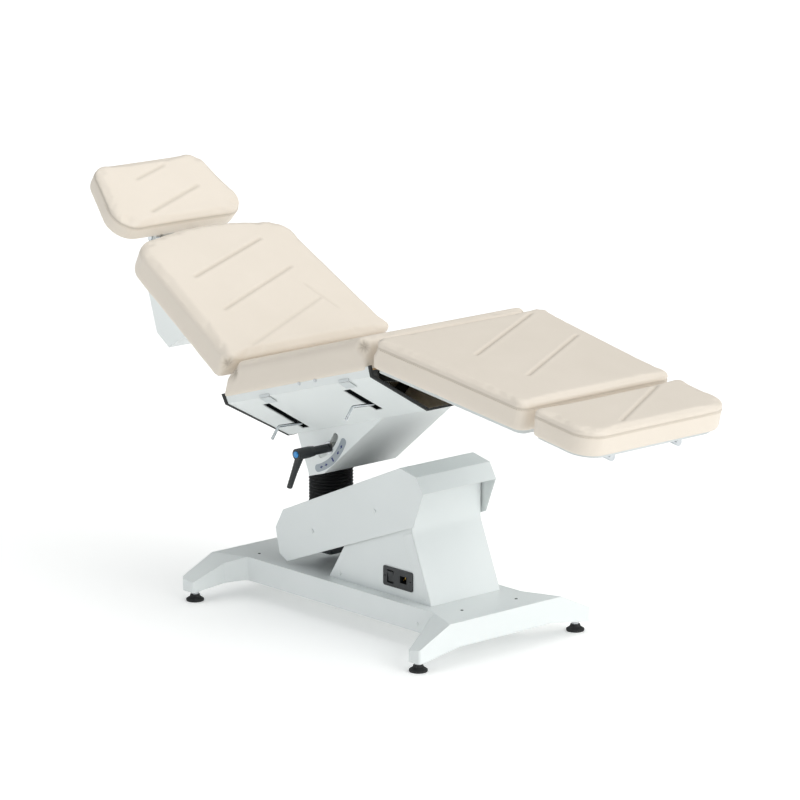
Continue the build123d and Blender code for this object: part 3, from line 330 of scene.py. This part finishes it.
threadNylon = moulded("nylonSpun", "#d9cfc0", "#bfb4a3", 0.55, 1.0 * mm, 1.53)
plywood = birchPlywood("plywoodSanded")

paint(["base_frame", "pedestal_cover", "arm_cover", "column_head", "seat_tray", "seat_box",
       "back_channel", "cover_screws", "hood_screws"], whiteCoat)
paint(["back_frame", "leg_frame", "foot_frame", "head_bracket"], panCoat)
paint(["pedestal_frame", "lift_arm", "level_link", "column_post", "tilt_brackets",
       "hinge_brackets"], darkCoat)
paint(["foot_studs", "rail_screws", "arm_pivot_pin", "link_pivot_pin",
       "motor_pin", "rod_pin", "column_pivot_pin", "link_end_pin", "tilt_pin", "clamp_stud",
       "back_hinge_pins", "knee_pins", "back_lever_pivot", "leg_lever_pivot", "head_guides",
       "foot_guides"], brightZinc)
paint(["lift_rod", "back_lever", "leg_lever", "head_slide", "foot_rods"], chromePlate)
paint(["foot_pads", "bellows", "edge_trims"], blackRubber)
paint(["power_inlet", "power_switch", "clamp_spacer", "clamp_lever", "lift_motor"], blackPlastic)
paint(["lever_button"], bluePlastic)
paint(["tilt_scale"], scaleFilm)
paint(["inlet_pins"], brassContact)
paint(["seat_board", "back_board", "leg_board", "foot_board"], plywood)
paint(["seat_cushion", "back_cushion", "leg_cushion", "foot_cushion", "head_cushion"], padVinyl)
print("materials ready")

# ---- cushions ----

arcSteps, edgeSteps = 9, 14
blankSide = -2.0        # the blank stands this far outside its outline, as the filling draws it in


# corners are (along, across, radius); every outline gets the same count of points per corner
def roundedOutline(corners):
    count = len(corners)
    arcs = []
    for i, (u, y, radius) in enumerate(corners):
        here = Vector((u, y))
        back = (Vector(corners[i - 1][:2]) - here).normalized()
        ahead = (Vector(corners[(i + 1) % count][:2]) - here).normalized()
        half = back.angle(ahead) / 2
        centre = here + (back + ahead).normalized() * (radius / math.sin(half))
        first = here + back * (radius / math.tan(half)) - centre
        last = here + ahead * (radius / math.tan(half)) - centre
        sweep = first.angle_signed(last)
        arc = []
        for k in range(arcSteps + 1):
            turn = -sweep * k / arcSteps
            arc.append(centre + Vector((first.x * math.cos(turn) - first.y * math.sin(turn),
                                        first.x * math.sin(turn) + first.y * math.cos(turn))))
        arcs.append(arc)
    points = []
    for i in range(count):
        points += arcs[i]
        start, end = arcs[i][-1], arcs[(i + 1) % count][0]
        points += [start.lerp(end, k / edgeSteps) for k in range(1, edgeSteps)]
    return points


def outwards(points):
    count = len(points)
    normals = []
    for i in range(count):
        run = points[(i + 1) % count] - points[i - 1]
        normals.append(Vector((run.y, -run.x)).normalized())
    return normals


def tuckedIn(points, amount):
    us = [p.x for p in points]
    middle, reach = (max(us) + min(us)) / 2, (max(us) - min(us)) / 2
    widest = max(p.y for p in points)
    pulled = []
    for p in points:
        s, t = (p.x - middle) / reach, p.y / widest
        pulled.append(Vector((p.x - amount * s * (1 - t * t), p.y - amount * t * (1 - s * s))))
    return pulled


# rings from the board up: bottom tuck, straight band, rounded shoulder, flat crown
def padBlank(pad):
    low, high = pad["bottom"], pad["rim"]
    foot, crown = (
        tuckedIn(roundedOutline(pad[key]), pad["pullIn"]) for key in ("footprint", "crown"))
    shoulder = pad["shoulder"]
    rings = [(low, 7), (low + 2, 2.5), (low + 8, 0)]
    for k in range(4):
        turn = math.pi / 2 * k / 3
        rings.append((high - shoulder * (1 - math.sin(turn)), shoulder * (1 - math.cos(turn))))
    form = bmesh.new()
    outer, inner = outwards(foot), outwards(crown)
    loops = []
    for height, inset in rings:
        h = ((height - low) / (high - low)) ** pad["lean"]
        loop = []
        for a, b, na, nb in zip(foot, crown, outer, inner):
            p = a.lerp(b, h) - na.lerp(nb, h) * (inset + blankSide)
            loop.append(form.verts.new((p.x * mm, p.y * mm, height * mm)))
        loops.append(loop)
    count = len(foot)
    for below, above in zip(loops, loops[1:]):
        for i in range(count):
            j = (i + 1) % count
            form.faces.new((below[i], below[j], above[j], above[i]))
    form.faces.new(loops[-1])
    form.faces.new(list(reversed(loops[0])))
    return form


def evaluatedPoints(piece):
    graph = bpy.context.evaluated_depsgraph_get()
    mesh = piece.evaluated_get(graph).data
    points = np.zeros(len(mesh.vertices) * 3)
    mesh.vertices.foreach_get("co", points)
    return points.reshape(-1, 3)


def bakeModifiers(piece):
    graph = bpy.context.evaluated_depsgraph_get()
    made = bpy.data.meshes.new_from_object(piece.evaluated_get(graph))
    old = piece.data
    piece.modifiers.clear()
    piece.data = made
    bpy.data.meshes.remove(old)


filling = {"pressure": 4.0, "frames": 20, "voxel": 6.0 * mm, "sideways": 0.15}


# the foam pushes the cover out; the face under the board is held, and the cap limits each point
def inflate(piece, pad):
    flat = evaluatedPoints(piece)
    held = piece.vertex_groups.new(name="held")
    resting = np.nonzero(flat[:, 2] < (pad["bottom"] + 4) * mm)[0]
    held.add(resting.tolist(), 1.0, "REPLACE")
    cloth = piece.modifiers.new("filling", "CLOTH")
    cloth.settings.use_pressure = True
    cloth.settings.uniform_pressure_force = filling["pressure"]
    cloth.settings.effector_weights.gravity = 0
    cloth.settings.quality = 4
    cloth.settings.vertex_group_mass = "held"
    cloth.collision_settings.use_collision = False
    cloth.collision_settings.use_self_collision = False
    cloth.point_cache.frame_start = 1
    cloth.point_cache.frame_end = filling["frames"]
    for step in range(1, filling["frames"] + 1):
        bpy.context.scene.frame_set(step)
    moved = evaluatedPoints(piece) - flat
    moved[:, :2] *= filling["sideways"]
    piece.modifiers.remove(cloth)
    length = np.linalg.norm(moved, axis=1, keepdims=True) + 1e-9
    cap = pad["swell"] * mm
    settled = flat + moved / length * cap * np.tanh(length / cap)
    piece.data.vertices.foreach_set("co", settled.ravel())
    piece.vertex_groups.clear()
    bpy.context.scene.frame_set(1)
    print(pad["name"], "filled, most", round(float(length.max()) * 1000, 1), "mm before the cap")


def smoothStep(values):
    clipped = np.clip(values, 0, 1)
    return clipped * clipped * (3 - 2 * clipped)


# fullCrease is the channel depth at which the painted shade in the valley is full
sewn = {"fade": 22.0, "rollOut": 2.6, "rollWide": 1.6, "rollHigh": 0.12, "fullCrease": 9.0}


# a sewn channel: a narrow valley that fades at both ends, with a slight roll on each side and
# painted shade along the valley
def sewChannels(points, creaseShade, pad):
    fade = sewn["fade"] * mm
    for start, end, depth, width in pad["channels"]:
        a, b = np.array(start) * mm, np.array(end) * mm
        run = b - a
        length = np.linalg.norm(run)
        t = (points[:, :2] - a) @ run / length
        across = (points[:, 0] - a[0]) * run[1] - (points[:, 1] - a[1]) * run[0]
        across = np.abs(across) / length
        ends = smoothStep(t / fade) * smoothStep((length - t) / fade)
        onTop = points[:, 2] > (pad["bottom"] + pad["rim"]) / 2 * mm
        valley = np.exp(-(across / (width * mm)) ** 2) * ends * onTop
        besideIt = (across - sewn["rollOut"] * width * mm) / (sewn["rollWide"] * width * mm)
        roll = np.exp(-besideIt ** 2) * ends * onTop
        points[:, 2] += (-depth * valley + sewn["rollHigh"] * depth * roll) * mm
        creaseShade[:] = np.maximum(creaseShade, valley * min(1.0, depth / sewn["fullCrease"]))


# the last value is the strength of the painted shade along the band seam
bandSeam = {"wide": 2.6, "pull": 1.5, "creaseShade": 0.55}


# the joint between the top panel and the band: a shallow valley round the shoulder, darkened with
# painted shade
def sewBand(points, normals, creaseShade, pad):
    if not pad["seam"]:
        return
    level = pad["seam"] * mm
    beside = np.exp(-((points[:, 2] - level) / (bandSeam["wide"] * mm)) ** 2)
    sideways = np.hypot(normals[:, 0], normals[:, 1])
    pull = bandSeam["pull"] * mm * beside * smoothStep((sideways - 0.3) / 0.4)
    points[:, 0] -= normals[:, 0] * pull
    points[:, 1] -= normals[:, 1] * pull
    creaseShade[:] = np.maximum(creaseShade, bandSeam["creaseShade"] * beside * smoothStep((sideways - 0.3) / 0.4))


# a gathered corner: the cover is drawn into the joint and stands up in pleats round it, with
# painted shade in the pleats
def gatherCorners(points, creaseShade, pad):
    for place, inwards, reach, depth in pad["gathers"]:
        centre = np.array(place) * mm
        axis = np.array(inwards) / np.linalg.norm(inwards)
        offset = points - centre
        distance = np.linalg.norm(offset, axis=1)
        near = smoothStep(1 - distance / (reach * mm))
        side = np.cross(axis, (0.3, 0.1, 1.0))
        side /= np.linalg.norm(side)
        up = np.cross(axis, side)
        angle = np.arctan2(offset @ up, offset @ side)
        pleats = 0.5 + 0.5 * np.cos(9 * angle + 2.0 * np.sin(angle))
        points += axis * (near * (0.72 + 0.28 * pleats) * depth * mm)[:, None]
        creaseShade[:] = np.maximum(creaseShade, near ** 1.5 * (0.35 + 0.45 * pleats))


def makePad(pad):
    form = padBlank(pad)
    piece = meshObject(pad["name"], form, padVinyl)
    remesh = piece.modifiers.new("even", "REMESH")
    remesh.mode = "VOXEL"
    remesh.voxel_size = filling["voxel"]
    bakeModifiers(piece)
    inflate(piece, pad)
    finer = piece.modifiers.new("finer", "SUBSURF")
    finer.levels = finer.render_levels = 1
    bakeModifiers(piece)
    mesh = piece.data
    count = len(mesh.vertices)
    points = np.zeros(count * 3)
    normals = np.zeros(count * 3)
    mesh.vertices.foreach_get("co", points)
    mesh.vertex_normals.foreach_get("vector", normals)
    points, normals = points.reshape(-1, 3), normals.reshape(-1, 3)
    creaseShade = np.zeros(count)
    sewChannels(points, creaseShade, pad)
    sewBand(points, normals, creaseShade, pad)
    gatherCorners(points, creaseShade, pad)
    mesh.vertices.foreach_set("co", points.ravel())
    # the painted shade mask is stored on the points for the vinyl material
    creased = mesh.attributes.new("creaseShade", "FLOAT", "POINT")
    creased.data.foreach_set("value", creaseShade.astype(np.float32))
    mesh.shade_smooth()
    mesh.update()
    if pad["seam"]:
        addStitches(piece, pad)
    mesh.transform(sectionMatrix(pad["place"]))
    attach(piece, pad["body"])
    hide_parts(pad["node"])
    print(pad["name"], "made,", count, "points")


# the profile steps along a stitch: place, lift off the cover and thickness, as shares
stitch = {
    "pitch": 7.0, "length": 4.2, "thick": 0.75, "below": 4.0,
    "profile": [(-0.5, -0.8, 0.5), (-0.36, 0.25, 0.9), (0, 0.75, 1.0), (0.36, 0.25, 0.9),
                (0.5, -0.8, 0.5)],
}


# walks round the band at one height and returns points on the cover with the way out from each
def walkBand(piece, pad, height, pitch):
    skin = BVHTree.FromPolygons([v.co for v in piece.data.vertices],
                                [tuple(p.vertices) for p in piece.data.polygons])
    outline = roundedOutline(pad["crown"])
    normals = outwards(outline)
    run, walked, total = 0.0, [], len(outline)
    for i in range(total):
        a, b = outline[i], outline[(i + 1) % total]
        length = (b - a).length
        while run < length:
            t = run / length
            p, n = a.lerp(b, t), normals[i].lerp(normals[(i + 1) % total], t).normalized()
            start = Vector(((p.x + 40 * n.x) * mm, (p.y + 40 * n.y) * mm, height * mm))
            hit, out, _, _ = skin.ray_cast(start, Vector((-n.x, -n.y, 0)), 90 * mm)
            if hit is not None and pad["stitched"](hit.x / mm, hit.y / mm):
                walked.append((hit, out))
            run += pitch
        run -= length
    return walked


# one stitch: a short thread that dives into the cover at both ends
def addThread(form, hit, out, along):
    side = out.cross(along).normalized()
    rings = []
    for s, lift, size in stitch["profile"]:
        centre = hit + along * (s * stitch["length"] * mm) + out * (lift * stitch["thick"] * mm)
        ring = []
        for k in range(6):
            turn = math.tau * k / 6
            ring.append(form.verts.new(centre + (side * math.cos(turn) + out * math.sin(turn))
                                       * stitch["thick"] * size * mm))
        rings.append(ring)
    for a, b in zip(rings, rings[1:]):
        for k in range(6):
            form.faces.new((a[k], a[(k + 1) % 6], b[(k + 1) % 6], b[k]))
    form.faces.new(rings[-1])
    form.faces.new(list(reversed(rings[0])))


def addStitches(piece, pad):
    form = bmesh.new()
    walked = walkBand(piece, pad, pad["seam"] - stitch["below"], stitch["pitch"])
    for i, (hit, out) in enumerate(walked):
        near = walked[(i + 1) % len(walked)][0]
        along = near - hit
        if along.length > 3 * stitch["pitch"] * mm:
            along = hit - walked[i - 1][0]
        addThread(form, hit, out, along.normalized())
    bmesh.ops.recalc_face_normals(form, faces=form.faces)
    thread = meshObject(pad["name"] + "Stitches", form, threadNylon)
    thread.data.transform(sectionMatrix(pad["place"]))
    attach(thread, pad["body"])
    print(thread.name, len(walked), "stitches")


backPad = {
    "name": "backPad", "node": "back_cushion", "body": "back", "place": backPlace,
    "bottom": 12.0, "rim": 94.0, "swell": 5.0, "shoulder": 18.0, "pullIn": 1.5, "lean": 1.0,
    "footprint": [
        (-28, -301, 14), (-28, 301, 14), (-516, 270, 84), (-582, 0, 850), (-516, -270, 84)],
    "crown": [(-8, -303, 22), (-8, 303, 22), (-520, 274, 84), (-584, 0, 850), (-520, -274, 84)],
    "channels": [
        ((-340, -195), (-457, 146), 3.6, 4.5),
        ((-193, -196), (-325, 162), 3.0, 4.5),
        ((-37, -208), (-182, 163), 1.9, 4.5),
        ((-254, 135), (-113, 180), 1.3, 5.0)],
    "seam": None,
    "gathers": [
        ((-10, -298, 70), (-0.5, 0.55, -0.3), 36, 16),
        ((-10, 298, 70), (-0.5, -0.55, -0.3), 36, 16)],
}
makePad(backPad)

seatPad = {
    "name": "seatPad", "node": "seat_cushion", "body": "seat", "place": seatPlace,
    "bottom": 56.0, "rim": 141.0, "swell": 4.0, "shoulder": 18.0, "pullIn": 1.0, "lean": 1.8,
    "footprint": [(486, -303, 14), (486, 303, 14), (-126, 303, 14), (-126, -303, 14)],
    "crown": [(492, -303, 20), (492, 303, 20), (-70, 303, 20), (-70, -303, 20)],
    "channels": [],
    "seam": None,
    "gathers": [
        ((-70, -299, 124), (0.45, 0.6, -0.35), 36, 16),
        ((-70, 299, 124), (0.45, -0.6, -0.35), 36, 16),
        ((488, -298, 122), (-0.5, 0.6, -0.2), 32, 13),
        ((488, 298, 122), (-0.5, -0.6, -0.2), 32, 13)],
}
makePad(seatPad)

legPad = {
    "name": "legPad", "node": "leg_cushion", "body": "leg", "place": legPlace,
    "bottom": 21.0, "rim": 98.0, "swell": 4.0, "shoulder": 9.0, "pullIn": 1.5, "lean": 1.0,
    "footprint": [(517, -266, 30), (517, 266, 30), (-14, 304, 16), (-14, -304, 16)],
    "crown": [(519, -269, 30), (519, 269, 30), (-22, 307, 22), (-22, -307, 22)],
    "channels": [((200, -144), (6, 248), 3.6, 4.5), ((374, -121), (189, 242), 3.6, 4.5)],
    "seam": 82.0,
    "stitched": lambda u, y: u > 10,
    "gathers": [
        ((-18, -298, 82), (0.5, 0.6, -0.2), 32, 13), ((-18, 298, 82), (0.5, -0.6, -0.2), 32, 13)],
}
makePad(legPad)

footPad = {
    "name": "footPad", "node": "foot_cushion", "body": "foot", "place": legPlace,
    "bottom": 27.0, "rim": 97.0, "swell": 3.0, "shoulder": 9.0, "pullIn": 1.5, "lean": 1.0,
    "footprint": [(749, -257, 70), (749, 257, 70), (551, 262, 22), (551, -262, 22)],
    "crown": [(751, -260, 70), (751, 260, 70), (549, 266, 22), (549, -266, 22)],
    "channels": [((722, -122), (562, 175), 3.4, 4.5), ((648, 224), (628, 262), 1.0, 6.0)],
    "seam": 82.0,
    "stitched": lambda u, y: True,
    "gathers": [],
}
makePad(footPad)

headPad = {
    "name": "headPad", "node": "head_cushion", "body": "headrest", "place": headPlace,
    "bottom": 8.0, "rim": 69.0, "swell": 4.0, "shoulder": 12.0, "pullIn": 1.5, "lean": 1.0,
    "footprint": [(10, -242, 68), (10, 242, 68), (-229, 186, 58), (-229, -186, 58)],
    "crown": [(12, -246, 68), (12, 246, 68), (-231, 190, 58), (-231, -190, 58)],
    "channels": [((-152, -90), (-197, 59), 2.8, 4.5), ((-27, -114), (-104, 122), 3.2, 4.5)],
    "seam": 57.0,
    "stitched": lambda u, y: u > -100,
    "gathers": [],
}
makePad(headPad)
print("cushions ready")

# ---- small steel and plastic details ----

def framed(form, name, material, body, place=None):
    bmesh.ops.recalc_face_normals(form, faces=form.faces)
    piece = meshObject(name, form, material)
    piece.data.shade_flat()
    if place:
        piece.data.transform(sectionMatrix(place))
    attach(piece, body)
    return piece


# a flat outline raised by a thickness: points are 3-D, in millimetres, raise is a vector
def addPlate(form, outline, raise_):
    low = [form.verts.new(Vector(p) * mm) for p in outline]
    high = [form.verts.new((Vector(p) + Vector(raise_)) * mm) for p in outline]
    count = len(outline)
    for i in range(count):
        j = (i + 1) % count
        form.faces.new((low[i], low[j], high[j], high[i]))
    form.faces.new(high)
    form.faces.new(list(reversed(low)))


# black housings inside the tray behind the lever slots
leverHousing = {
    "slots": [(10.0, 147.0, 271.0), (350.0, 167.0, 267.0)],
    "half": 27.0, "margin": 9.0, "depth": 38.0, "gap": 4.0, "wall": 2.0,
}
railLow, trayFloor, trayHalf, floorHalf = 38.0, -78.0, 300.0, 131.0


def panelPoint(across, inside, side):
    run = (trayHalf - floorHalf, railLow - trayFloor)
    length = math.hypot(*run)
    level = trayFloor + (across - floorHalf) * run[1] / run[0]
    return side * (across - inside * run[1] / length), level + inside * run[0] / length


def addHousing(form, u, low, high, side):
    house = leverHousing
    half, rim = house["half"], house["margin"]
    rings = []
    wall, gap, depth = house["wall"], house["gap"], house["depth"]
    for inset, inside in ((0, gap), (0, depth), (wall, depth - wall), (wall, gap)):
        ring = []
        for du, across in ((-half + inset, low - rim + inset), (half - inset, low - rim + inset),
                           (half - inset, high + rim - inset), (-half + inset, high + rim - inset)):
            y, w = panelPoint(across, inside, side)
            ring.append(form.verts.new(((u + du) * mm, y * mm, w * mm)))
        rings.append(ring)
    for a, b in zip(rings, rings[1:] + rings[:1]):
        if a is rings[1]:
            continue
        for k in range(4):
            form.faces.new((a[k], a[(k + 1) % 4], b[(k + 1) % 4], b[k]))
    form.faces.new(rings[1])
    form.faces.new(rings[2])


housingForm = bmesh.new()
for u, low, high in leverHousing["slots"]:
    for side in (-1, 1):
        addHousing(housingForm, u, low, high, side)
framed(housingForm, "leverHousings", blackPlastic, "seat", seatPlace)

# two bent tabs under each rail, folded from the rail onto the slanted panel
railTabs = {"places": [48.0, 386.0], "wide": 42.0, "down": 24.0, "thick": 1.6}
tabForm = bmesh.new()
for side in (-1, 1):
    for u in railTabs["places"]:
        half = railTabs["wide"] / 2
        y1, w1 = panelPoint(trayHalf - railTabs["down"], -2.6, side)
        y2, w2 = side * (trayHalf + 0.6), railLow - 1.0
        y3, w3 = side * (trayHalf + 0.6), railLow + 7.0
        for (ya, wa), (yb, wb), out in (((y1, w1), (y2, w2), (0, side * 1.0, -1.2)),
                                        ((y2, w2), (y3, w3), (0, side * 1.6, 0))):
            corners = [(u - half, ya, wa), (u + half, ya, wa),
                       (u + half, yb, wb), (u - half, yb, wb)]
            addPlate(tabForm, corners, out)
framed(tabForm, "railTabs", panCoat, "seat", seatPlace)

# printed marks on the tilt scale: two pairs of arrows and a middle bar
scaleMarks = {
    "centre": seatPlace["origin"], "radius": 181.0, "thick": 0.4, "arrow": 5.2,
    "arrows": [(-67.0, -1), (-59.0, 1), (-39.5, -1), (-31.0, 1)],
    "bar": -49.0, "barEnds": (175, 187),
}
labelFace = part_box("tilt_scale")[0].y / mm
markForm = bmesh.new()


def arcPoint(angle, radius):
    turn = math.radians(angle)
    x, z = scaleMarks["centre"]
    return (x + radius * math.cos(turn), labelFace, z + radius * math.sin(turn))


for angle, way in scaleMarks["arrows"]:
    r, a = scaleMarks["radius"], scaleMarks["arrow"]
    spread = math.degrees(a / r)
    tip, rear = angle + way * spread, angle - way * spread * 0.6
    addPlate(markForm, [arcPoint(tip, r), arcPoint(rear, r - a * 0.8), arcPoint(rear, r + a * 0.8)],
             (0, -scaleMarks["thick"], 0))
    tail = angle - way * spread * 1.5
    addPlate(markForm, [arcPoint(rear, r - 1.1), arcPoint(rear, r + 1.1), arcPoint(tail, r + 1.1),
                        arcPoint(tail, r - 1.1)], (0, -scaleMarks["thick"], 0))
bar, (inner, outer) = scaleMarks["bar"], scaleMarks["barEnds"]
addPlate(markForm, [arcPoint(bar - 1.0, inner), arcPoint(bar + 1.0, inner),
                    arcPoint(bar + 1.0, outer), arcPoint(bar - 1.0, outer)],
         (0, -scaleMarks["thick"], 0))
framed(markForm, "scaleMarks", blueInk, "seat")

# the foot-end sheet of the pedestal wraps a little way round onto both side faces
pedestalWrap = {"edge": [(341.0, 118.0), (263.0, 306.0)], "wide": 34.0, "thick": 1.4, "face": 125.0}
wrapForm = bmesh.new()
(x1, z1), (x2, z2) = pedestalWrap["edge"]
for side in (-1, 1):
    y = side * pedestalWrap["face"]
    wide = pedestalWrap["wide"]
    addPlate(wrapForm, [(x1 - 1, y, z1), (x2 - 1, y, z2), (x2 - 1 - wide, y, z2 - 13),
                        (x1 - 1 - wide, y, z1)], (0, side * pedestalWrap["thick"], 0))
framed(wrapForm, "pedestalWrap", whiteCoat, "base")

# small domed plugs in the screw holes of the base
basePlugs = {
    "places": [(420, -88, 118), (435, 96, 118), (-383, -115, 118)],
    "radius": 4.2, "rise": 1.3, "sides": 20,
}
plugForm = bmesh.new()
sides = basePlugs["sides"]
for x, y, z in basePlugs["places"]:
    rings = []
    for rise, size in ((-0.4, 1.0), (0.4, 1.0), (0.9, 0.8), (1.0, 0.45)):
        ring = []
        for k in range(sides):
            turn, reach = math.tau * k / sides, basePlugs["radius"] * size
            ring.append(plugForm.verts.new(((x + reach * math.cos(turn)) * mm,
                                            (y + reach * math.sin(turn)) * mm,
                                            (z + basePlugs["rise"] * rise) * mm)))
        rings.append(ring)
    for a, b in zip(rings, rings[1:]):
        for k in range(sides):
            plugForm.faces.new((a[k], a[(k + 1) % sides], b[(k + 1) % sides], b[k]))
    plugForm.faces.new(rings[-1])
    plugForm.faces.new(list(reversed(rings[0])))
framed(plugForm, "basePlugs", blackPlastic, "base").data.shade_smooth()
print("details ready")
